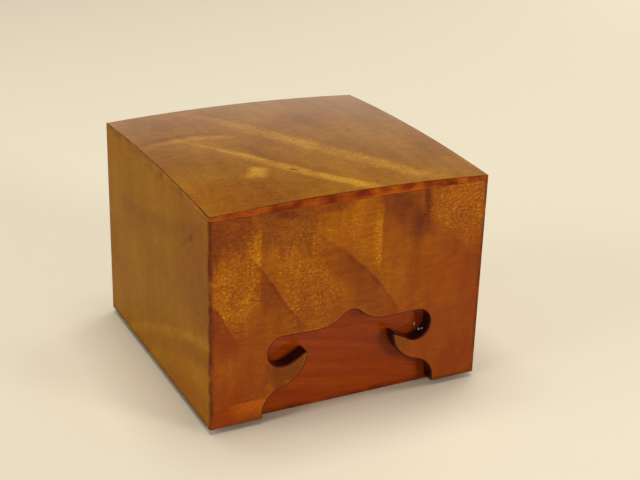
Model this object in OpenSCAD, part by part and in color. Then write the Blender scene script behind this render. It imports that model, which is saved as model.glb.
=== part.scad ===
// Wooden box for a set of shogi pieces, in two parts. The box itself is a plain square case.
// Its cover is a deep lid with a domed top, and a scrolled finger cut-out in the front and back.
// The lid's top board rests on the rim of the box, so the lid's feet hang clear of the table.
// Origin: middle of the base. +X is to the right, +Y to the back, +Z up. Millimetres.

/* [Lid] */
// Width of the lid, left to right
lid_w = 115; // [100:0.5:180]
// Depth of the lid, front to back
lid_d = 115; // [100:0.5:180]
// Height of the lid's four walls, from their feet to the top board
lid_h = 83.5; // [66:0.5:130]
// Thickness of the lid's walls
lid_wall_t = 5.8; // [3:0.1:8]
// Rounding of the lid's four upright corners
lid_corner_r = 0.6; // [0.2:0.1:2.5]

/* [Top board] */
// Thickness of the top board at its four corners
top_corner_t = 1.6; // [0.6:0.1:6]
// Rise of the dome, from the board's corners to its middle
dome_rise = 3.7; // [1:0.1:12]

/* [Box] */
// Gap between the lid's walls and the box, on each side
lid_clearance = 0.3; // [0.2:0.05:1]
// Height of the lid's feet above the table when the lid is on
foot_gap = 2; // [0.5:0.1:6]
// Thickness of the box's walls
box_wall_t = 5; // [3:0.1:8]
// Rounding of the box's four upright corners
box_corner_r = 0.6; // [0.2:0.1:2.5]
// Thickness of the bottom board
bottom_t = 5; // [3:0.1:10]
// Depth of the rebate in the box's walls that takes the bottom board
rebate_depth = 2.2; // [1:0.1:2.6]
// Gap round the edge of the bottom board, in its rebate
bottom_clearance = 0.1; // [0.05:0.05:0.4]

/* [Finger cut-out] */
// Width of the cut-out at the lid's feet
cut_w = 73.8; // [64:0.2:84]
// Distance of the cut-out's middle to the right of the wall's middle
cut_offset = 0.7; // [-2:0.1:2]
// Height of the cut-out's crown above the lid's feet
cut_h = 38.7; // [34:0.1:52]
// Radius of the crown
crown_r = 4.6; // [2:0.1:5.4]
// Distance of each shoulder's lowest point from the middle of the wall
shoulder_out = 14.8; // [12:0.1:17]
// Depth of the shoulders' lowest point below the crown
shoulder_drop = 5.9; // [5.5:0.1:8]
// Radius of the round bulb at each side
bulb_r = 6.2; // [5:0.1:6.8]
// Distance of the bulb's centre inwards from the cut-out's side
bulb_in = 8.3; // [7.6:0.1:10]
// Height of the bulb's top above the shoulder's lowest point
bulb_lift = 0.3; // [-1.5:0.1:1]
// Reach of the barb's tip inwards from the bulb's centre
barb_reach = 9.5; // [8.4:0.1:12]
// Depth of the barb's tip below the bulb's centre
barb_drop = 2.8; // [1.5:0.1:4]
// Radius of the barb's tip
barb_tip_r = 0.8; // [0.5:0.1:1.2]
// Lean of the barb's underside from the upright where it leaves the tip, in degrees
barb_lean = 6; // [0:1:16]
// Radius of the arch above each foot
foot_r = 9.9; // [6:0.1:12]
// Height of the foot's straight inner edge
foot_straight = 2; // [0.5:0.1:4]

/* [Hidden] */

// The box's outer size leaves the clearance inside the lid, and its rim carries the top board.
box_w = lid_w - 2 * (lid_wall_t + lid_clearance);
box_d = lid_d - 2 * (lid_wall_t + lid_clearance);
box_h = foot_gap + lid_h;

// The dome is part of a sphere through the board's four corners.
half_diagonal = norm([lid_w, lid_d]) / 2;
dome_r = (half_diagonal * half_diagonal + dome_rise * dome_rise) / (2 * dome_rise);
top_centre_t = top_corner_t + dome_rise;

// Cutting tools run past the faces that they cut.
overcut = 1;
// Largest turn between two points of a curve on the cut-out's outline, in degrees
curve_step = 6;
corner_fn = 48;
turned_fn = 180;
// Points along the dome's profile, from its middle to a corner
dome_steps = 24;

lid_colour = "#9a5a18";
top_colour = "#a8682a";
box_colour = "#85400f";
bottom_colour = "#8c5a30";

// ---- Outline of the cut-out ----
// The outline is followed from the crown down to the right foot. A heading is the direction of
// travel in degrees from +X, and a turn is 1 to the left or -1 to the right.

// Point on a circle where someone who goes round it with this turn has this heading
function rim_point(centre, r, turn, heading) =
    centre + turn * r * [sin(heading), -cos(heading)];

// Points of an arc, from one heading to another
function arc(centre, r, turn, from, to) =
    let (steps = ceil(abs(to - from) / curve_step))
    [for (i = [0 : steps]) rim_point(centre, r, turn, from + (to - from) * i / steps)];

// Heading of the straight line that leaves one circle and joins the next
function line_heading(centre_a, r_a, turn_a, centre_b, r_b, turn_b) =
    let (gap = centre_b - centre_a)
    atan2(gap[1], gap[0]) - asin((turn_b * r_b - turn_a * r_a) / norm(gap));

// Radius of the circle that passes through a point, has its centre along this normal, and just
// touches another circle from the outside
function touching_r(point, normal, centre, r) =
    let (away = point - centre)
    (away * away - r * r) / (2 * (r - away * normal));

// Heading from one circle's centre to another's, turned to run along the face where they touch
function touch_heading(centre_a, centre_b, turn_a) =
    let (gap = centre_b - centre_a)
    atan2(gap[1], gap[0]) + 90 * turn_a;

// All but the first point, for an arc that starts where the last one ended
function rest_of(points) = [for (i = [1 : len(points) - 1]) points[i]];

crown_c = [0, cut_h - crown_r];

shoulder_low = [shoulder_out, cut_h - shoulder_drop];
shoulder_r = touching_r(shoulder_low, [0, 1], crown_c, crown_r);
shoulder_c = shoulder_low + [0, shoulder_r];

bulb_c = [cut_w / 2 - bulb_in, shoulder_low[1] + bulb_lift - bulb_r];

tip_c = bulb_c - [barb_reach, barb_drop];
tip_exit = -90 + barb_lean;
tip_normal = [-sin(tip_exit), cos(tip_exit)];

foot_c = [cut_w / 2 - foot_r, foot_straight];

barb_start = tip_c - barb_tip_r * tip_normal;
barb_r = touching_r(barb_start, tip_normal, foot_c, foot_r);
barb_c = barb_start + barb_r * tip_normal;

crown_exit = touch_heading(crown_c, shoulder_c, -1);
shoulder_exit = line_heading(shoulder_c, shoulder_r, 1, bulb_c, bulb_r, -1);
bulb_exit = line_heading(bulb_c, bulb_r, -1, tip_c, barb_tip_r, 1);
barb_exit = touch_heading(barb_c, foot_c, 1);

right_side = concat(
    arc(crown_c, crown_r, -1, 0, crown_exit),
    rest_of(arc(shoulder_c, shoulder_r, 1, crown_exit, shoulder_exit)),
    arc(bulb_c, bulb_r, -1, shoulder_exit, bulb_exit),
    arc(tip_c, barb_tip_r, 1, bulb_exit, tip_exit),
    rest_of(arc(barb_c, barb_r, 1, tip_exit, barb_exit)),
    rest_of(arc(foot_c, foot_r, -1, barb_exit, -90)),
    [[cut_w / 2, -overcut]]
);
left_side = [for (i = [len(right_side) - 1 : -1 : 1]) [-right_side[i][0], right_side[i][1]]];

// ---- Shared shapes ----

// Upright block, centred on the origin in plan, with its four upright corners rounded
module rounded_block(w, d, h, r) {
    linear_extrude(h) {
        square([w - 2 * r, d], center = true);
        square([w, d - 2 * r], center = true);
        for (x = [-1, 1], y = [-1, 1])
            translate([x * (w / 2 - r), y * (d / 2 - r)]) circle(r, $fn = corner_fn);
    }
}

// Board along the front of a w by d case, mitred at 45 degrees at both ends
module mitred_front(w, d, h, t) {
    linear_extrude(h)
        polygon([
            [-w / 2, -d / 2], [w / 2, -d / 2],
            [w / 2 - t, -d / 2 + t], [-w / 2 + t, -d / 2 + t]
        ]);
}

// Board along one side of a w by d case, with the case's rounded outer corners.
// Side 0 is the front, 1 the right, 2 the back and 3 the left.
module case_wall(side, w, d, h, t, r) {
    along = side % 2 == 0 ? w : d;
    across = side % 2 == 0 ? d : w;
    intersection() {
        rounded_block(w, d, h, r);
        rotate(90 * side) mitred_front(along, across, h, t);
    }
}

// The cut-out's outline, run through a wall at the front
module finger_cut() {
    translate([cut_offset, -lid_d / 2 + lid_wall_t + overcut, 0]) rotate([90, 0, 0])
        linear_extrude(lid_wall_t + 2 * overcut) polygon(concat(right_side, left_side));
}

// ---- Box: bottom board in a rebate, four mitred walls ----

// Space inside the box's walls for the bottom board, out to the back of its rebate
module rebate() {
    w = box_w - 2 * (box_wall_t - rebate_depth);
    d = box_d - 2 * (box_wall_t - rebate_depth);
    translate([-w / 2, -d / 2, -overcut]) cube([w, d, bottom_t + overcut]);
}

module box_wall(side) {
    color(box_colour) difference() {
        case_wall(side, box_w, box_d, box_h, box_wall_t, box_corner_r);
        rebate();
    }
}

module box_bottom_board() {
    w = box_w - 2 * (box_wall_t - rebate_depth + bottom_clearance);
    d = box_d - 2 * (box_wall_t - rebate_depth + bottom_clearance);
    color(bottom_colour) translate([-w / 2, -d / 2, 0]) cube([w, d, bottom_t]);
}

module box_front_wall() { box_wall(0); }
module box_right_wall() { box_wall(1); }
module box_back_wall() { box_wall(2); }
module box_left_wall() { box_wall(3); }

// ---- Lid: four mitred walls, two of them scrolled, and a domed top board ----

// Half of the dome's section, out to the board's corners
dome_profile = concat(
    [[0, 0], [half_diagonal, 0]],
    [for (i = [dome_steps : -1 : 0])
        let (x = half_diagonal * i / dome_steps)
        [x, top_centre_t - dome_r + sqrt(dome_r * dome_r - x * x)]]
);

module lid_wall(side) {
    case_wall(side, lid_w, lid_d, lid_h, lid_wall_t, lid_corner_r);
}

module lid_front_wall() {
    color(lid_colour) translate([0, 0, foot_gap]) difference() {
        lid_wall(0);
        finger_cut();
    }
}

// Its cut-out lies straight behind the front one
module lid_back_wall() {
    color(lid_colour) translate([0, 0, foot_gap]) difference() {
        lid_wall(2);
        mirror([0, 1, 0]) finger_cut();
    }
}

module lid_right_wall() {
    color(lid_colour) translate([0, 0, foot_gap]) lid_wall(1);
}

module lid_left_wall() {
    color(lid_colour) translate([0, 0, foot_gap]) lid_wall(3);
}

// Flat underneath, glued to the walls' top edges, and planed to a shallow dome on top
module lid_top_board() {
    color(top_colour) translate([0, 0, box_h]) intersection() {
        rounded_block(lid_w, lid_d, top_centre_t + overcut, lid_corner_r);
        rotate_extrude($fn = turned_fn) polygon(dome_profile);
    }
}

box_bottom_board();
box_front_wall();
box_back_wall();
box_left_wall();
box_right_wall();
lid_front_wall();
lid_back_wall();
lid_left_wall();
lid_right_wall();
lid_top_board();
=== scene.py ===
"""Looks of a wooden shogi piece box: a plain square case under a deep lid with a domed top board
and a scrolled finger cut-out. Metres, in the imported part's own frame."""

import math

import bpy
from mathutils import Matrix, Vector


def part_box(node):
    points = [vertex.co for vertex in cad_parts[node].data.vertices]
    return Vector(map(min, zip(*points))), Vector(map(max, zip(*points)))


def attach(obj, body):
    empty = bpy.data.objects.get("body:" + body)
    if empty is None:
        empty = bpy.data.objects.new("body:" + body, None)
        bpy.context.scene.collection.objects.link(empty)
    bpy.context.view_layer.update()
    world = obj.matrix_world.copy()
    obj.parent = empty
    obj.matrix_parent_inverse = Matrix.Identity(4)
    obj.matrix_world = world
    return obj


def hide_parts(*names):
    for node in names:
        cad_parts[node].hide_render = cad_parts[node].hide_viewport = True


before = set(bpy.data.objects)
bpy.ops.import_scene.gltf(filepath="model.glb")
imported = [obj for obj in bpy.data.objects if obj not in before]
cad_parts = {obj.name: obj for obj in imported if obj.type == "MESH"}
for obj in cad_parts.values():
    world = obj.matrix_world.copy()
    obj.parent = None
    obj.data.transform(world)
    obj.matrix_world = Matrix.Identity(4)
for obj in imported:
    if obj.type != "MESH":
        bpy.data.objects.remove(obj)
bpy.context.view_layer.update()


# ---------------------------------------------------------------------------------------------
# Camera
# It stands to the left of the front and looks down at the box from arm's length, a little
# turned about its own axis, as one holds a camera in the hand.

MM = 0.001
SENSOR_WIDTH = 36.0
CAMERA_LENS = 72.63
CAMERA_PLACE = Vector((-0.2108, -0.4426, 0.2545))
CAMERA_AZIMUTH = math.radians(27.05)
CAMERA_PITCH = math.radians(-22.90)
CAMERA_ROLL = math.radians(1.73)
NEAREST_SEEN = 10 * MM

camera_data = bpy.data.cameras.new("camera")
camera_data.sensor_width = SENSOR_WIDTH
camera_data.lens = CAMERA_LENS
camera_data.clip_start = NEAREST_SEEN
camera = bpy.data.objects.new("camera", camera_data)
turned = Matrix.Rotation(-CAMERA_AZIMUTH, 4, "Z")
tilted = Matrix.Rotation(math.pi / 2 + CAMERA_PITCH, 4, "X")
rolled = Matrix.Rotation(CAMERA_ROLL, 4, "Z")
camera.matrix_world = Matrix.Translation(CAMERA_PLACE) @ turned @ tilted @ rolled
bpy.context.scene.collection.objects.link(camera)
bpy.context.scene.camera = camera


# ---------------------------------------------------------------------------------------------
# Table and studio light
# A plain pale table before a pale backdrop: one broad lamp overhead, one to the right of the
# front, and weaker ones to the left and behind. A small catch light, screened off from all but the
# front walls, puts glints into the cut-out.

TABLE_COLOUR = "#f3ead4"
ROOM_TONES = {"backdrop": "#f3eee4", "room": "#8a867e", "ceiling": "#6f6a5f"}
ROOM_STRENGTH = 0.75
TABLE_SIZE = 5.0
LIT_PLACE = Vector((0, 0, 50 * MM))


def linear(hex_colour):
    """A hex colour as sRGB writes it, as the linear RGBA that the shaders take"""
    channels = [int(hex_colour[i : i + 2], 16) / 255 for i in (1, 3, 5)]
    return [c / 12.92 if c <= 0.04045 else ((c + 0.055) / 1.055) ** 2.4 for c in channels] + [1.0]


def add(tree, kind, inputs=None, **properties):
    """Adds a node, sets its properties, and gives each input a value or a link"""
    new = tree.nodes.new("ShaderNode" + kind)
    for name, value in properties.items():
        setattr(new, name, value)
    for name, value in (inputs or {}).items():
        if isinstance(value, bpy.types.NodeSocket):
            tree.links.new(value, new.inputs[name])
        else:
            new.inputs[name].default_value = value
    return new


def deselect():
    bpy.ops.object.select_all(action="DESELECT")


deselect()
bpy.ops.mesh.primitive_plane_add(size=TABLE_SIZE, location=(0, 0, 0))
table = bpy.context.object
table.name = "table"
table_paint = bpy.data.materials.new("matt_table_paint")
table_paint.use_nodes = True
table_shader = table_paint.node_tree.nodes["Principled BSDF"]
table_shader.inputs["Base Color"].default_value = linear(TABLE_COLOUR)
table_shader.inputs["Roughness"].default_value = 0.7
table.data.materials.append(table_paint)

# The room is palest behind the box, and darker overhead and around the camera
room = bpy.data.worlds.new("pale_room")
room.use_nodes = True
bpy.context.scene.world = room
gaze = add(room.node_tree, "TexCoord").outputs["Generated"]
gaze = add(room.node_tree, "SeparateXYZ", {0: gaze}).outputs
behind = {"Value": gaze["Y"], "From Min": 0.0, "From Max": 0.5}
behind = add(room.node_tree, "MapRange", behind).outputs["Result"]
upper = {"Value": gaze["Z"], "From Min": 0.15, "From Max": 0.45}
upper = add(room.node_tree, "MapRange", upper).outputs["Result"]
around = {"Factor": behind, "A": linear(ROOM_TONES["room"]), "B": linear(ROOM_TONES["backdrop"])}
around = add(room.node_tree, "Mix", around, data_type="RGBA").outputs["Result"]
whole = {"Factor": upper, "A": around, "B": linear(ROOM_TONES["ceiling"])}
whole = add(room.node_tree, "Mix", whole, data_type="RGBA").outputs["Result"]
room_light = room.node_tree.nodes["Background"]
room.node_tree.links.new(whole, room_light.inputs["Color"])
room_light.inputs["Strength"].default_value = ROOM_STRENGTH

# Each lamp: name, place, width, power in watts, colour. The low lamps would glare on the top board,
# so only the overhead lamp and the catch light show in the gloss.
for name, place, width, power, colour in (
    ("overhead_lamp", (0.0, 0.1, 1.6), 0.9, 15.2, "#fffcf6"),
    ("key_lamp", (0.9, -1.35, 0.35), 0.5, 15.5, "#fffcf6"),
    ("fill_lamp", (-1.2, 0.0, 0.5), 0.8, 5.6, "#fffcf6"),
    ("rear_lamp", (1.2, 0.7, 0.5), 0.8, 6.0, "#fffcf6"),
    ("catch_light", (-0.43, -0.84, 0.5), 0.03, 2.8, "#eef2ff"),
):
    lamp_data = bpy.data.lights.new(name, "AREA")
    lamp_data.shape = "SQUARE"
    lamp_data.size = width
    lamp_data.energy = power
    lamp_data.color = linear(colour)[:3]
    lamp = bpy.data.objects.new(name, lamp_data)
    lamp.location = place
    towards = LIT_PLACE - lamp.location
    lamp.rotation_euler = towards.to_track_quat("-Z", "Y").to_euler()
    lamp.visible_glossy = name in ("overhead_lamp", "catch_light")
    bpy.context.scene.collection.objects.link(lamp)

# The catch light reaches only the pieces that are put into this collection
caught = bpy.data.collections.new("pieces_in_catch_light")
bpy.data.objects["catch_light"].light_linking.receiver_collection = caught

bpy.context.scene.view_settings.view_transform = "Standard"


# ---------------------------------------------------------------------------------------------
# Box: bottom board
# A plain hardwood board, dropped into a rebate round the walls' lower edge and glued flush.
# It is planed and thinly oiled, so it stays drier and paler than the lacquered walls.

HAIRLINE = 0.000001
EASED = 0.35 * MM
FLAT_WITHIN = math.radians(0.5)
SHARP_OVER = math.radians(40)
ROUND_UNDER = math.radians(35)
MITRE_WITHIN = 0.01
PORE_DEPTH = 0.03 * MM
# How far each seed moves a board's patterns, in mm along the grain, across it and in depth
SEED_MOVES = (173.1, 59.3, 317.7)


def board(name, node):
    """A board of the part's own shape, as clean faces ready to be eased and finished"""
    deselect()
    new = bpy.data.objects.new(name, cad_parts[node].data.copy())
    new.data.materials.clear()
    bpy.context.scene.collection.objects.link(new)
    new.select_set(True)
    bpy.context.view_layer.objects.active = new
    bpy.ops.object.mode_set(mode="EDIT")
    bpy.ops.mesh.select_all(action="SELECT")
    bpy.ops.mesh.remove_doubles(threshold=HAIRLINE)
    bpy.ops.mesh.dissolve_limited(angle_limit=FLAT_WITHIN)
    bpy.ops.mesh.select_all(action="DESELECT")
    bpy.ops.object.mode_set(mode="OBJECT")
    return new


def is_mitre(normal):
    """A mitre's face stands upright at 45 degrees"""
    return max(abs(normal.z), abs(abs(normal.x) - abs(normal.y))) < MITRE_WITHIN


def ease(piece, chosen, width=EASED, steps=3):
    """Rounds the sharp edges that chosen picks by their middle, but not the arrises of a mitre"""
    deselect()
    bpy.context.view_layer.objects.active = piece
    bpy.ops.object.mode_set(mode="EDIT")
    bpy.ops.mesh.select_mode(type="EDGE")
    bpy.ops.mesh.select_all(action="DESELECT")
    bpy.ops.object.mode_set(mode="OBJECT")
    mesh = piece.data
    beside = {}
    for face in mesh.polygons:
        for key in face.edge_keys:
            beside.setdefault(key, []).append(face.normal.copy())
    for edge in mesh.edges:
        normals = beside[tuple(sorted(edge.vertices))]
        middle = (mesh.vertices[edge.vertices[0]].co + mesh.vertices[edge.vertices[1]].co) / 2
        sharp = len(normals) == 2 and normals[0].angle(normals[1]) > SHARP_OVER
        edge.select = sharp and not any(map(is_mitre, normals)) and chosen(middle)
    bpy.ops.object.mode_set(mode="EDIT")
    bpy.ops.mesh.bevel(offset=width, segments=steps, affect="EDGES", clamp_overlap=False)
    bpy.ops.mesh.select_all(action="DESELECT")
    bpy.ops.object.mode_set(mode="OBJECT")


def smooth(piece):
    """Shades the eased edges round, and keeps the flat faces flat"""
    deselect()
    piece.select_set(True)
    bpy.context.view_layer.objects.active = piece
    bpy.ops.object.shade_smooth_by_angle(angle=ROUND_UNDER)
    weighted = piece.modifiers.new("flat faces", "WEIGHTED_NORMAL")
    weighted.keep_sharp = True
    bpy.ops.object.modifier_apply(modifier=weighted.name)


def place_on_board(tree, along, across, seed):
    """A point's place in mm, along the grain, across it and deep, and the same moved by the seed"""
    object_place = add(tree, "TexCoord").outputs["Object"]
    in_mm = add(tree, "VectorMath", {0: object_place, "Scale": 1 / MM}, operation="SCALE")
    split = add(tree, "SeparateXYZ", {0: in_mm.outputs[0]})
    depth = ({"X", "Y", "Z"} - {along, across}).pop()
    axes = {i: split.outputs[axis] for i, axis in enumerate((along, across, depth))}
    place = add(tree, "CombineXYZ", axes).outputs[0]
    moved = {0: place, 1: [seed * move for move in SEED_MOVES]}
    return place, add(tree, "VectorMath", moved, operation="ADD").outputs[0]


def cloud(tree, place, length, width, detail=2.0, rough=0.5, offset=0.0):
    """Noise whose patches are about this long along the grain and this wide across it, in mm"""
    settings = {0: place, 1: (1 / length, 1 / width, 1 / width), 2: (offset, offset, offset)}
    stretched = add(tree, "VectorMath", settings, operation="MULTIPLY_ADD").outputs[0]
    noise = {"Vector": stretched, "Scale": 1.0, "Detail": detail, "Roughness": rough}
    return add(tree, "TexNoise", noise).outputs["Fac"]


def where(tree, *limits):
    """A soft mask, the product of its limits. Each limit is a value, the size of it at which the
    mask is bare, and the size at which it is full."""
    mask = 1.0
    for value, bare, full in limits:
        ends = {"Value": value, "From Min": bare, "From Max": full, "To Max": mask}
        mask = add(tree, "MapRange", ends, interpolation_type="SMOOTHSTEP").outputs["Result"]
    return mask


def wood_colour(tree, tone, colours):
    """The wood's own colour from its tone, given as {tone: hex colour}"""
    new = add(tree, "ValToRGB", {"Fac": tone})
    stops = new.color_ramp.elements
    while len(stops) < len(colours):
        stops.new(0.5)
    for stop, (position, colour) in zip(stops, sorted(colours.items())):
        stop.position = position
        stop.color = linear(colour)
    return new.outputs["Color"]


def stain(tree, under, mask, colour, strength):
    """Lays a colour over the wood where the mask shows"""
    share = add(tree, "Math", {0: mask, 1: strength}, operation="MULTIPLY").outputs[0]
    laid = {"Factor": share, "A": under, "B": linear(colour)}
    return add(tree, "Mix", laid, data_type="RGBA").outputs["Result"]


def weighed(tree, start, *parts):
    """A start value with each part added in its share. Each part is a value from 0 to 1 and its
    share."""
    total = start
    for value, share in parts:
        sum_so_far = {0: value, 1: share, 2: total}
        total = add(tree, "Math", sum_so_far, operation="MULTIPLY_ADD").outputs[0]
    return total


def oiled_wood(name, along, across, seed, colours):
    """Straight-grained hardwood, planed and thinly oiled: satin, with open pores along the grain"""
    material = bpy.data.materials.new(name)
    material.use_nodes = True
    tree = material.node_tree
    _, place = place_on_board(tree, along, across, seed)
    rings = cloud(tree, place, 90, 5, detail=3)
    fibres = cloud(tree, place, 14, 0.6, offset=7.3)
    # Real pores are about half as wide, too fine to show
    pores = where(tree, (cloud(tree, place, 4, 0.3, detail=1, offset=3.9), 0.58, 0.68))
    tone = weighed(tree, 0.0, (rings, 0.65), (fibres, 0.35))
    colour = stain(tree, wood_colour(tree, tone, colours), pores, "#3c2010", 0.45)
    shader = tree.nodes["Principled BSDF"]
    tree.links.new(colour, shader.inputs["Base Color"])
    height = weighed(tree, 0.0, (fibres, 0.5), (pores, -1.0))
    relief = add(tree, "Bump", {"Height": height, "Distance": PORE_DEPTH, "Strength": 1.0})
    tree.links.new(relief.outputs["Normal"], shader.inputs["Normal"])
    shader.inputs["Roughness"].default_value = 0.55
    return material


BARE_TONES = {0.30: "#6d3f1d", 0.50: "#8b5a2e", 0.70: "#a57440"}
bottom_wood = oiled_wood("oiled_bottom_wood", "X", "Y", 1, BARE_TONES)
box_bottom = board("box_bottom", "box_bottom_board")
box_bottom.data.materials.append(bottom_wood)
smooth(box_bottom)
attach(box_bottom, "box")
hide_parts("box_bottom_board")


# ---------------------------------------------------------------------------------------------
# Box: four walls
# Straight-grained boards of the same wood, mitred and glued round the bottom board. Outside, thin
# coats of lacquer are wiped on and rubbed out to a deep red-brown gloss. Inside they are oiled.

LACQUER_IOR = 1.52
BOX_TONES = {0.20: "#5c1903", 0.45: "#792b02", 0.60: "#883503", 0.85: "#9e4507"}
GRAIN_SLOPE = math.radians(12)
FIBRE_RELIEF = 0.015 * MM
# How squarely a face has to look away from the wall's outside to be its inside
FACING_IN = -0.9
# The edge that it stands on: painted shade along the bottom, where the box meets the table
BOX_FOOT_SHADE = (((0, -1, 0), -3.0, -0.6, 0.8),)


def lacquered(name, coat, coat_roughness):
    """A new material with the lacquer's gloss. The wood that it has soaked doesn't shine itself."""
    material = bpy.data.materials.new(name)
    material.use_nodes = True
    shader = material.node_tree.nodes["Principled BSDF"]
    shader.inputs["IOR"].default_value = LACQUER_IOR
    shader.inputs["Roughness"].default_value = 0.42
    shader.inputs["Specular IOR Level"].default_value = 0.0
    shader.inputs["Coat Weight"].default_value = coat
    shader.inputs["Coat Roughness"].default_value = coat_roughness
    shader.inputs["Coat IOR"].default_value = LACQUER_IOR
    return material, material.node_tree, shader


def dark_edges_and_shade(tree, colour, true_place, edges, uneven):
    """Darkens the wood towards given edges: a dark joint at some, painted shade at others, as each
    table of edges says. Each edge: its direction on the board, how far out the dark starts and is
    full, in mm, and how strong it is."""
    for direction, bare, full, strength in edges:
        out = add(tree, "VectorMath", {0: true_place, 1: direction}, operation="DOT_PRODUCT")
        patchy_mask = where(tree, (out.outputs["Value"], bare, full), (uneven, 0.25, 0.6))
        colour = stain(tree, colour, patchy_mask, "#4a1404", strength)
    return colour


def straight_grain(name, along, across, seed):
    """Wiped lacquer over quarter-sawn wood: sloping streaks a few mm wide, fine fibres and filled
    pores"""
    material, tree, shader = lacquered(name, 0.3, 0.06)
    true_place, place = place_on_board(tree, along, across, seed)
    sloped = {"Vector": place, "Angle": GRAIN_SLOPE}
    place = add(tree, "VectorRotate", sloped, rotation_type="Z_AXIS").outputs[0]
    streaks = cloud(tree, place, 70, 3.5, detail=3)
    bands = cloud(tree, place, 120, 16, detail=1, offset=2.7)
    fibres = cloud(tree, place, 9, 0.5, offset=7.3)
    tone = weighed(tree, -0.1, (streaks, 0.5), (bands, 0.4), (fibres, 0.3))
    pores = where(tree, (cloud(tree, place, 3, 0.35, detail=1, offset=5.1), 0.60, 0.72))
    colour = stain(tree, wood_colour(tree, tone, BOX_TONES), pores, "#4a1604", 0.35)
    # Painted shade along the bottom edge
    colour = dark_edges_and_shade(tree, colour, true_place, BOX_FOOT_SHADE, cloud(tree, place, 9, 7, offset=9.2))
    tree.links.new(colour, shader.inputs["Base Color"])
    relief = add(tree, "Bump", {"Height": fibres, "Distance": FIBRE_RELIEF, "Strength": 1.0})
    tree.links.new(relief.outputs["Normal"], shader.inputs["Normal"])
    return material


def finish_faces(piece, material, chosen):
    """Gives a second finish to the faces that chosen picks by their middle and normal"""
    piece.data.materials.append(material)
    for face in piece.data.polygons:
        if chosen(face.center, face.normal):
            face.material_index = len(piece.data.materials) - 1


box_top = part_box("box_front_wall")[1][2]
# Each wall: side, the axis that its grain follows, and the way that it faces
SIDES = (
    ("front", "X", Vector((0, -1, 0))),
    ("back", "X", Vector((0, 1, 0))),
    ("left", "Y", Vector((-1, 0, 0))),
    ("right", "Y", Vector((1, 0, 0))),
)
for seed, (side, along, outward) in enumerate(SIDES, start=2):
    wall = board(f"box_{side}", f"box_{side}_wall")
    ease(wall, lambda middle: middle.z > box_top - HAIRLINE or middle.z < HAIRLINE)
    wall.data.materials.append(straight_grain(f"lacquered_box_{side}", along, "Z", seed))
    inside = oiled_wood(f"oiled_box_{side}", along, "Z", seed + 10, BARE_TONES)
    finish_faces(wall, inside, lambda middle, normal: normal.dot(outward) < FACING_IN)
    smooth(wall)
    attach(wall, "box")
    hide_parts(f"box_{side}_wall")
    if side == "front":
        caught.objects.link(wall)


# ---------------------------------------------------------------------------------------------
# Lid: left and right walls
# Boards sawn from one figured plank, mitred at the corners so that the figure runs round the lid.
# Thin coats of lacquer bring up its flames, and leave a soft deep gloss like that of old furniture.

LID_COAT = 0.27
# How far the outlines of the figure wander, and over what length, in mm
WANDER = 2.5
WANDER_LENGTH = 11
LID_TONES = {
    0.0: "#3c1408",
    0.25: "#682a06",
    0.45: "#7f3e04",
    0.60: "#914e03",
    0.78: "#a96805",
    1.0: "#cc9028",
}
# The left wall's tones are the lid's red-brown turned golden: painted reflection of warm yellow
# light
LEFT_TONES_WITH_PAINTED_REFLECTION = {
    0.0: "#4c2a06",
    0.25: "#784602",
    0.45: "#8f5a01",
    0.60: "#9e6801",
    0.78: "#b07a04",
    1.0: "#c8921a",
}


def arc_band(tree, place, start, middle, end, left, right, fade=6.0):
    """A band of figure along the arc through three points, which fades out this far to the left
    and right of it, and over this length at its ends"""
    start = Vector(start)
    to_middle = Vector(middle) - start
    to_end = Vector(end) - start
    near = to_middle.dot(to_middle)
    far = to_end.dot(to_end)
    twice = 2 * (to_middle.x * to_end.y - to_middle.y * to_end.x)
    crossed = (to_end.y * near - to_middle.y * far, to_middle.x * far - to_end.x * near)
    to_centre = Vector(crossed) / twice
    turn = math.copysign(1.0, twice)
    reach = {0: place, 1: (start + to_centre).to_3d()}
    reach = add(tree, "VectorMath", reach, operation="DISTANCE").outputs["Value"]
    to_left = {0: reach, 1: -turn, 2: turn * to_centre.length}
    off_arc = add(tree, "Math", to_left, operation="MULTIPLY_ADD").outputs[0]
    heading = to_end.normalized()
    run = {0: place, 1: heading.to_3d()}
    run = add(tree, "VectorMath", run, operation="DOT_PRODUCT").outputs["Value"]
    first = heading.dot(start)
    last = first + to_end.length
    # Only on the arc's own side of its circle
    outward = (to_end / 2 - to_centre).normalized()
    side = {0: place, 1: outward.to_3d()}
    side = add(tree, "VectorMath", side, operation="DOT_PRODUCT").outputs["Value"]
    at_centre = outward.dot(start + to_centre)
    return where(
        tree,
        (off_arc, left, left / 4),
        (off_arc, -right, -right / 4),
        (run, first - fade / 2, first + fade / 2),
        (run, last + fade / 2, last - fade / 2),
        (side, at_centre, at_centre + to_centre.length / 4),
    )


def patch(tree, place, centre, length, width, turn):
    """A soft oval patch of figure, turned by this many degrees"""
    settings = {"Vector": place, "Location": (*centre, 0), "Rotation": (0, 0, math.radians(turn))}
    settings["Scale"] = (length / 2, width / 2, 1)
    own = add(tree, "Mapping", settings, vector_type="TEXTURE").outputs[0]
    reach = add(tree, "VectorMath", {0: own}, operation="LENGTH").outputs["Value"]
    return where(tree, (reach, 1.35, 0.55))


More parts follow.
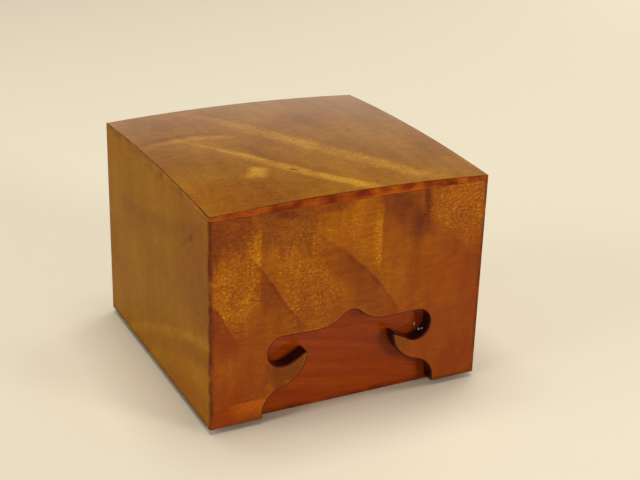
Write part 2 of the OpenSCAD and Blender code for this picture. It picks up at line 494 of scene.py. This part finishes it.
def figured_wood(name, along, across, seed, wildness, figure, edges, tones, coat, ribbon=8):
    """Wiped lacquer over figured wood. Figure is rows of a shape, its numbers in mm, and what it
    adds to the tone and to the glitter of the fibres; a row may end in a colour and its strength.
    Ribbon is how far, in mm, ribbon figure pulls the patches out across the grain."""
    material, tree, shader = lacquered(name, coat, 0.13)
    true_place, place = place_on_board(tree, along, across, seed)
    waver = {0: place, "Scale": 1 / WANDER_LENGTH}
    waver = add(tree, "VectorMath", waver, operation="SCALE").outputs[0]
    waver = add(tree, "TexNoise", {"Vector": waver, "Scale": 1.0, "Detail": 2.0}).outputs["Color"]
    waver = add(tree, "VectorMath", {0: waver, 1: (0.5, 0.5, 0.5)}, operation="SUBTRACT").outputs[0]
    waver = {0: waver, 1: (WANDER, WANDER, 0), 2: true_place}
    waver = add(tree, "VectorMath", waver, operation="MULTIPLY_ADD").outputs[0]
    flat = add(tree, "VectorMath", {0: waver, 1: (1, 1, 0)}, operation="MULTIPLY").outputs[0]
    ribbons = cloud(tree, place, 2.6, 26, detail=2, offset=6.6)
    ribboned = {0: ribbons, 1: (ribbon / 4, 2 * ribbon, 0), 2: flat}
    ribboned = add(tree, "VectorMath", ribboned, operation="MULTIPLY_ADD").outputs[0]
    ribboned = {0: ribboned, 1: (-ribbon / 8, -ribbon, 0)}
    ribboned = add(tree, "VectorMath", ribboned, operation="ADD").outputs[0]
    lies_in = {arc_band: flat, patch: ribboned}
    billows = cloud(tree, place, 26, 30, detail=1.5)
    mottle = cloud(tree, place, 5, 28, detail=2, offset=4.1)
    fibres = cloud(tree, place, 8, 0.5, offset=7.3)
    grain = cloud(tree, place, 5, 2.2, detail=3, rough=0.6, offset=2.9)
    shares = [wildness * share for share in (0.7, 0.4, 0.3, 0.48)]
    tone = weighed(tree, 0.5 - sum(shares) / 2, *zip((billows, mottle, fibres, grain), shares))
    # The figure comes and goes along its shapes
    patchy_mask = cloud(tree, place, 5, 9, detail=3, offset=3.3)
    patchy_mask = {"Value": patchy_mask, "From Min": 0.36, "From Max": 0.6, "To Min": 0.55}
    patchy_mask = add(tree, "MapRange", patchy_mask).outputs["Result"]
    glitter = 0.35
    stains = []
    for shape, numbers, lighter, more_glitter, *colour in figure:
        mask = shape(tree, lies_in[shape], *numbers)
        mask = add(tree, "Math", {0: mask, 1: patchy_mask}, operation="MULTIPLY").outputs[0]
        if lighter:
            tone = weighed(tree, tone, (mask, lighter))
        if more_glitter:
            glitter = weighed(tree, glitter, (mask, more_glitter))
        if colour:
            stains.append((mask, *colour))
    # Light glitters on single fibres, which are too fine to show and are drawn as coarser flecks
    flecks = cloud(tree, place, 1.1, 0.8, detail=2.5, rough=0.7, offset=1.7)
    flecks = add(tree, "Math", {0: flecks, 1: 0.5}, operation="SUBTRACT").outputs[0]
    clumps = cloud(tree, place, 3, 5, detail=1, offset=8.4)
    clumped = {0: flecks, 1: weighed(tree, 0.3, (clumps, 1.4))}
    flecks = add(tree, "Math", clumped, operation="MULTIPLY").outputs[0]
    tone = weighed(tree, tone, (flecks, glitter))
    colour = wood_colour(tree, tone, tones)
    for mask, over, strength in stains:
        colour = stain(tree, colour, mask, over, strength)
    uneven = cloud(tree, place, 7, 7, offset=9.2)
    # Darker towards the edges given: dark joints, and painted shade at feet and corners
    colour = dark_edges_and_shade(tree, colour, true_place, edges, uneven)
    tree.links.new(colour, shader.inputs["Base Color"])
    relief = add(tree, "Bump", {"Height": fibres, "Distance": FIBRE_RELIEF, "Strength": 1.0})
    tree.links.new(relief.outputs["Normal"], shader.inputs["Normal"])
    return material


LEFT_FIGURE = (
    (arc_band, ((33, 4), (4, 17), (-57, 38), 4, 2.5), 0.14, 0.0),
    (arc_band, ((10, 0), (-20, 14), (-56, 20), 7, 5), 0.10, 0.0),
    (patch, ((-44, 64), 40, 44, 0), -0.05, 0.0, "#864406", 0.4),
    (arc_band, ((-30, 23), (-44, 27), (-58, 29), 5, 6, 10), -0.12, 0.0),
    (patch, ((-35, 11), 50, 15, -4), 0.08, 0.4, "#964006", 0.35),
    (arc_band, ((-29, 66), (-35, 69.5), (-41, 74), 2, 1.2), -0.22, 0.0),
    (patch, ((8, 49), 9, 2, -12), -0.12, 0.0),
    (arc_band, ((40, 60), (0, 66), (-50, 80), 8, 3), -0.08, 0.0),
)
RIGHT_FIGURE = (
    (arc_band, ((-40, 84), (-18, 50), (22, 20), 9, 1.2), -0.18, 0.0),
    (arc_band, ((-52, 60), (-30, 32), (4, 8), 7, 1.2), -0.16, 0.0),
    (arc_band, ((0, 86), (18, 60), (52, 36), 9, 1.5), -0.15, 0.0),
    (patch, ((-30, 74), 22, 24, 0), 0.08, 0.8),
    (patch, ((34, 66), 30, 24, -20), 0.10, 0.8),
    (patch, ((-48, 16), 16, 22, 0), -0.10, 0.0, "#6e2402", 0.5),
)
# The wall's two upright corners, darker partly with lacquer gathered there and partly as painted
# shade of their rounding; the glue line under the top board, a dark joint; and the feet, with
# painted shade along their lower edge
WALL_EDGES = (
    ((1, 0, 0), 55.2, 57.2, 0.8),
    ((-1, 0, 0), 55.2, 57.2, 0.8),
    ((0, 1, 0), 84.8, 85.4, 0.4),
    ((0, -1, 0), -4.4, -2.0, 0.7),
)
lid_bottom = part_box("lid_left_wall")[0][2]


def lid_wall(side, along, outward, seed, wildness, figure, tones, coat=LID_COAT):
    """One wall of the lid, with its bottom arrises eased and its inside left in oil"""
    wall = board(f"lid_{side}", f"lid_{side}_wall")
    ease(wall, lambda middle: middle.z < lid_bottom + HAIRLINE)
    name = f"lacquered_lid_{side}"
    outside = figured_wood(name, along, "Z", seed, wildness, figure, WALL_EDGES, tones, coat)
    wall.data.materials.append(outside)
    inside = oiled_wood(f"oiled_lid_{side}", along, "Z", seed + 20, BARE_TONES)
    finish_faces(wall, inside, lambda middle, normal: normal.dot(outward) < FACING_IN)
    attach(wall, "lid")
    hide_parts(f"lid_{side}_wall")
    return wall


smooth(lid_wall("left", "Y", Vector((-1, 0, 0)), 6, 0.4, LEFT_FIGURE, LEFT_TONES_WITH_PAINTED_REFLECTION, coat=0.18))
smooth(lid_wall("right", "Y", Vector((1, 0, 0)), 7, 0.6, RIGHT_FIGURE, LID_TONES))


# ---------------------------------------------------------------------------------------------
# Lid: scrolled front and back walls
# The same plank, sawn out below into a finger cut-out with a scroll at each side. Its sawn edge is
# end grain, which drinks the lacquer and turns dark; it is drawn near black as painted shade of the
# cut-out's dim inside, and its arris is rounded by hand.

CUT_ARRIS = 0.55 * MM
CUT_HALF_WIDTH = 39.0 * MM
CUT_TOP = 42.0 * MM
SAW_MARKS = 0.4 * MM
# How squarely a face still looks to the front: less is the rounded arris, and then the sawn edge
ARRIS_FACING = 0.98
SAWN_FACING = 0.2

FRONT_FIGURE = (
    # flame-shaped edges: a thin dark line, and a shade that fades to its lower left
    (arc_band, ((-42, 70), (-29.5, 52), (-19.5, 37), 0.8, 10), -0.12, -0.2),
    (arc_band, ((-39, 66), (-29.5, 52), (-20.5, 38.5), 0.5, 1.6), -0.09, 0.0),
    (arc_band, ((-13, 72.5), (7.5, 55), (21, 35.5), 0.8, 14, 20), -0.16, -0.6),
    (arc_band, ((-6.5, 67.2), (7.5, 55), (20.5, 36.5), 0.5, 1.6, 10), -0.10, 0.0),
    (arc_band, ((29, 77), (42, 64.5), (58, 52), 0.9, 8), -0.14, -0.5),
    # glowing ribbons that stand across the grain
    (arc_band, ((-38, 80), (-37.9, 66), (-38, 50), 0.8, 9), 0.12, 0.8),
    (arc_band, ((11.5, 84), (11.6, 71), (11.5, 57), 0.6, 4.4, 8), 0.20, 0.9),
    (arc_band, ((-5, 88), (-1, 76), (4, 64), 7, 5), 0.03, 0.4),
    # golden fields
    (patch, ((-50, 56), 22, 34, 0), 0.12, 0.8),
    (patch, ((-18, 58), 28, 50, 10), 0.12, 0.8),
    (patch, ((47, 74), 36, 24, -35), 0.02, 2.0, "#944c10", 0.4),
    # dark fields
    (patch, ((-54, 82), 28, 24, 0), -0.08, 0.7, "#5e2410", 0.45),
    (patch, ((-27, 79), 26, 20, 0), -0.16, 0.5, "#6c3e10", 0.4),
    (arc_band, ((-31, 84.2), (-27, 84.4), (-23, 84.2), 1, 3.2, 5), -0.13, 0.0, "#5a1406", 0.5),
    (arc_band, ((-14, 84.4), (-8, 84.7), (-2, 84.4), 1, 3.4, 6), -0.11, 0.0, "#5a1406", 0.45),
    (arc_band, ((12, 86), (21, 80), (31, 68), 7, 9, 6), -0.16, 0.0, "#4e1c0e", 0.35),
    (arc_band, ((30.2, 88), (31.3, 82), (31.5, 76), 1.2, 2.6, 5), -0.28, 0.0, "#4a1c08", 0.5),
    (arc_band, ((-61, 56), (-52.5, 46), (-47, 33), 1.2, 10, 8), -0.14, -0.2, "#6a1c02", 0.5),
    # quiet wood below, redder towards the feet
    (patch, ((44, 30), 44, 76, 0), -0.03, -0.1, "#7e2e02", 0.6),
    (patch, ((53, 8), 26, 26, 0), -0.05, 0.0, "#702602", 0.5),
    (patch, ((-45, 26), 34, 30, 0), -0.02, 0.1, "#7c2e04", 0.5),
    (patch, ((-49, 8), 26, 24, 0), -0.05, 0.0, "#7c2802", 0.5),
    (arc_band, ((-48, 10.2), (-42, 10.8), (-34, 9.8), 0.5, 7.5, 10), 0.18, 1.2, "#b04c08", 0.5),
    (patch, ((-53, 5), 12, 8, 0), -0.04, 0.6, "#8a2602", 0.5),
    (arc_band, ((-58, 8.7), (-52, 8.9), (-46, 8.6), 0.4, 0.4, 3), -0.20, 0.0),
    (patch, ((-27, 21), 18, 14, 30), -0.13, 0.0, "#4e2804", 0.4),
    (patch, ((21.5, 22), 9, 13, 20), -0.10, 0.0, "#522a04", 0.35),
)
BACK_FIGURE = (
    (arc_band, ((44, 72), (30, 52), (20, 36), 10, 1.2), -0.15, -0.1),
    (arc_band, ((8, 82), (-6, 62), (-26, 40), 12, 1.2), -0.15, -0.1),
    (arc_band, ((-24, 84), (-40, 66), (-57, 56), 8, 1.5), -0.12, -0.1),
    (arc_band, ((30, 84), (30.1, 70), (30, 54), 8, 0.8), 0.12, 0.6),
    (patch, ((46, 60), 24, 32, 0), 0.10, 0.7),
    (patch, ((10, 60), 26, 40, -10), 0.10, 0.6),
    (patch, ((-46, 76), 26, 18, 30), 0.10, 0.8),
    (patch, ((50, 80), 20, 16, 0), -0.16, 0.2, "#5e2410", 0.45),
    (patch, ((44, 14), 30, 28, 0), -0.04, 0.0, "#7c3006", 0.4),
    (patch, ((-46, 26), 26, 50, 0), -0.04, -0.1, "#7c2a02", 0.4),
)


def end_grain_and_painted_shade(name):
    """Lacquer over sawn end grain: dark brown, drawn nearly black as painted shade of the cut-out's
    dim inside; glossy, with fine open tubes
    """
    material, tree, shader = lacquered(name, 1.0, 0.07)
    _, place = place_on_board(tree, "Y", "Z", 5)
    tubes = cloud(tree, place, 0.9, 0.9, detail=2)
    tone = weighed(tree, 0.0, (tubes, 0.6), (cloud(tree, place, 3, 8, offset=3.3), 0.4))
    colour = wood_colour(tree, tone, {0.35: "#0c0204", 0.52: "#180509", 0.68: "#280c10"})
    tree.links.new(colour, shader.inputs["Base Color"])
    strokes = cloud(tree, place, 9, 1.8, detail=1, offset=6.1)
    relief = add(tree, "Bump", {"Height": strokes, "Distance": SAW_MARKS, "Strength": 1.0})
    tree.links.new(relief.outputs["Normal"], shader.inputs["Coat Normal"])
    return material


def rubbed_arris(name, colours):
    """A rounded edge, darker than the face and dulled by handling"""
    material, tree, shader = lacquered(name, 0.4, 0.2)
    _, place = place_on_board(tree, "X", "Z", 13)
    mottle = cloud(tree, place, 6, 4, detail=2)
    tree.links.new(wood_colour(tree, mottle, colours), shader.inputs["Base Color"])
    return material


end_grain = end_grain_and_painted_shade("end_grain_with_painted_shade")
# The cut-out's arris is dark partly with lacquer and partly as painted shade, for the shadow line
# along its edge
cut_arris = rubbed_arris("cut_arris_and_painted_shade", {0.30: "#2c0c03", 0.50: "#401504", 0.70: "#5a2205"})


def in_cut_out(middle, normal=None, facing=1.0):
    """Whether a place is at the cut-out, not on a foot or corner, and its face, where one is
    given, looks to the front less squarely than this"""
    near = abs(middle.x) < CUT_HALF_WIDTH and middle.z < CUT_TOP
    return near and (normal is None or abs(normal.y) < facing)


for side, outward, seed, figure in (
    ("front", Vector((0, -1, 0)), 8, FRONT_FIGURE),
    ("back", Vector((0, 1, 0)), 9, BACK_FIGURE),
):
    wall = lid_wall(side, "X", outward, seed, 0.6, figure, LID_TONES)
    ease(wall, lambda middle: in_cut_out(middle) and middle.z > lid_bottom + HAIRLINE, CUT_ARRIS)
    finish_faces(wall, cut_arris, lambda middle, normal: in_cut_out(middle, normal, ARRIS_FACING))
    finish_faces(wall, end_grain, lambda middle, normal: in_cut_out(middle, normal, SAWN_FACING))
    smooth(wall)
    if side == "front":
        caught.objects.link(wall)


# ---------------------------------------------------------------------------------------------
# Lid: domed top board
# One board of the same plank, glued flat on the walls and planed to a shallow dome, so that its
# edge is thin at the corners and thicker between them. Two pale streaks of figure cross it.

DOME_RISE = 3.7 * MM
CORNER_THICKNESS = 1.6 * MM
CORNER_ROUNDING = 0.6 * MM
# The board's four corners lie further out than this times half its width
CORNER_REACH = 1.4
TOP_ARRIS = 0.3 * MM
TOP_GRID = 40
TOP_COAT = 0.9
TOP_RIBBON = 2
# How squarely a face still looks up: less is the rounded arris, and then the upright edge
TOP_FACING = 0.98
EDGE_FACING = 0.35
# How squarely a face of the edge has to look to a side to be an end of the board
END_FACING = 0.7

TOP_TONES = {
    0.0: "#461d04",
    0.25: "#764008",
    0.45: "#985e0d",
    0.60: "#ad7213",
    0.78: "#c4891f",
    1.0: "#dba93a",
}
LONG_EDGE_TONES = {0.25: "#561203", 0.42: "#7c2c04", 0.56: "#9a4405", 0.75: "#b05c0a"}
SHORT_EDGE_TONES = {0.25: "#7a4802", 0.45: "#8f5a02", 0.60: "#9c6602", 0.80: "#b07a06"}
TOP_FIGURE = (
    (arc_band, ((-30, 57), (-19.1, 40), (-4, 10), 5, 5.5, 20), 0.10, 0.3),
    (arc_band, ((-13, 24), (10, -18), (35, -54), 6, 7, 26), 0.20, 0.5),
    (arc_band, ((-41, 18), (-31, 1), (-19, -18), 1.4, 2, 12), 0.18, 0.3),
    (arc_band, ((-27, -5), (-10.5, -33), (13, -60), 3.2, 4.8, 26), 0.30, 0.6),
    (arc_band, ((-54, 15), (-38, 17), (-22, 12.5), 2.5, 3, 10), 0.17, 0.1),
    (arc_band, ((-54, 20), (-38, 22), (-22, 17.5), 2, 2.5, 10), -0.10, 0.0),
    (arc_band, ((-24, -24.5), (-26.6, -29.5), (-30, -33.5), 6, 6, 5), 0.38, 0.4),
    (patch, ((-13, -31.5), 2.4, 1.5, 0), -0.4, 0.0, "#3a1c08", 0.8),
    (patch, ((-40, 30), 34, 24, 0), -0.04, 0.0),
    (patch, ((22, -44), 36, 20, 0), 0.05, 0.2),
    (patch, ((-10, -20), 10, 44, 30), -0.07, 0.0),
    (patch, ((-44, -46), 48, 32, 0), -0.12, 0.4, "#a0520a", 0.35),
    (patch, ((34, 10), 44, 70, 10), -0.03, 0.1),
)


def dome_height(x, y, edge):
    """Height of the dome over the joint at a place on the board. Edge is half the board's width."""
    reach = edge * math.sqrt(2)
    radius = (reach**2 + DOME_RISE**2) / (2 * DOME_RISE)
    return CORNER_THICKNESS + DOME_RISE - radius + math.sqrt(radius**2 - x**2 - y**2)


def board_edge(name, along, seed, colours):
    """Lacquer over the planed edge of the board, with its level growth lines"""
    material, tree, shader = lacquered(name, 0.2, 0.13)
    _, place = place_on_board(tree, along, "Z", seed)
    lines = cloud(tree, place, 26, 1.4, detail=2)
    mottle = cloud(tree, place, 7, 5, offset=2.2)
    flecks = cloud(tree, place, 0.6, 0.42, detail=1.5, rough=0.6, offset=1.7)
    tone = weighed(tree, -0.25, (lines, 0.35), (mottle, 0.9), (flecks, 0.25))
    tree.links.new(wood_colour(tree, tone, colours), shader.inputs["Base Color"])
    return material


low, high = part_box("lid_top_board")
half_width = high[0]
deselect()
bpy.ops.mesh.primitive_grid_add(
    x_subdivisions=TOP_GRID, y_subdivisions=TOP_GRID, size=2 * half_width, location=(0, 0, low[2])
)
top_board = bpy.context.object
top_board.name = "lid_top"
bpy.ops.object.transform_apply(location=True, rotation=True, scale=True)
bpy.ops.object.mode_set(mode="EDIT")
bpy.ops.mesh.select_all(action="SELECT")
bpy.ops.mesh.extrude_region_move(TRANSFORM_OT_translate={"value": (0, 0, CORNER_THICKNESS)})
bpy.ops.mesh.select_all(action="SELECT")
bpy.ops.mesh.normals_make_consistent(inside=False)
bpy.ops.object.mode_set(mode="OBJECT")
for point in top_board.data.vertices:
    if point.co.z > low[2] + CORNER_THICKNESS / 2:
        point.co.z = low[2] + dome_height(point.co.x, point.co.y, half_width)
ease(top_board, lambda middle: middle.xy.length > CORNER_REACH * half_width, CORNER_ROUNDING, 5)
ease(top_board, lambda middle: middle.z > low[2] + CORNER_THICKNESS * 0.9, TOP_ARRIS)
top_face = figured_wood(
    "lacquered_lid_top", "X", "Y", 10, 0.5, TOP_FIGURE, (), TOP_TONES, TOP_COAT, TOP_RIBBON
)
top_board.data.materials.append(top_face)
top_arris = rubbed_arris("rubbed_top_arris", {0.35: "#4a1604", 0.52: "#662404", 0.66: "#8a4406"})
finish_faces(top_board, top_arris, lambda middle, normal: normal.z < TOP_FACING)
# Its front and back edges are as red as the walls' feet, its ends as brown as the side walls
long_edge = board_edge("lacquered_long_edge", "X", 12, LONG_EDGE_TONES)
finish_faces(top_board, long_edge, lambda middle, normal: abs(normal.z) < EDGE_FACING)
short_edge = board_edge("lacquered_short_edge", "Y", 15, SHORT_EDGE_TONES)
finish_faces(
    top_board,
    short_edge,
    lambda middle, normal: abs(normal.z) < EDGE_FACING and abs(normal.x) > END_FACING,
)
smooth(top_board)
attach(top_board, "lid")
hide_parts("lid_top_board")
